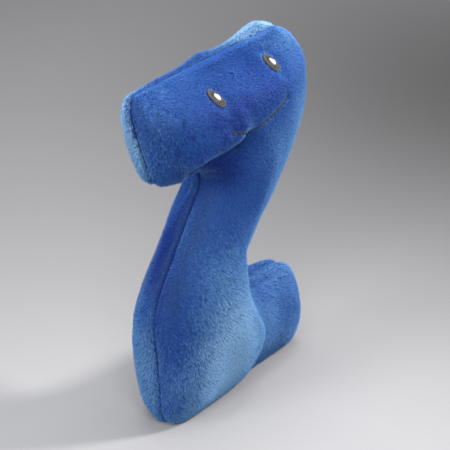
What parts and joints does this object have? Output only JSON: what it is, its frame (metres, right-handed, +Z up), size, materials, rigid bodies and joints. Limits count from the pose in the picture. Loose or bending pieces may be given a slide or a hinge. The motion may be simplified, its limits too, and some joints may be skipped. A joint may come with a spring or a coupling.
{
  "type": "plush letter",
  "caption": "Stuffed plush letter Z with rounded ends and an embroidered smiling face on its top bar, standing on a flattened edge.",
  "frame": {"origin": "on the floor, under the middle of the letter's box", "axes": "+Z up the letter's height, -Y out of the front panel with the face, +X towards the toe of the foot"},
  "size_m": [0.2092, 0.0698, 0.2455],
  "materials": {
    "front_plush": "short-pile knitted polyester plush, royal blue",
    "back_plush": "short-pile knitted polyester plush, royal blue",
    "fibre": "loose white polyester fibre",
    "seam_thread": "navy polyester sewing thread",
    "closing_thread": "blue polyester hand-sewing thread",
    "eye_thread": "grey-brown satin-stitch embroidery",
    "white_thread": "white satin-stitch embroidery",
    "mouth_thread": "dark navy embroidery thread",
    "backing_sheet": "white non-woven stabiliser"
  },
  "bodies": {
    "root": {"front_panel": "front_plush", "back_panel": "back_plush", "fibre_stuffing": "fibre", "seam_thread": "seam_thread", "closing_stitches": "closing_thread", "left_eye": "eye_thread", "right_eye": "eye_thread", "left_eye_highlight": "white_thread", "right_eye_highlight": "white_thread", "mouth_stitch": "mouth_thread", "left_mouth_tack": "mouth_thread", "right_mouth_tack": "mouth_thread", "embroidery_backing": "backing_sheet"}
  },
  "joints": []
}
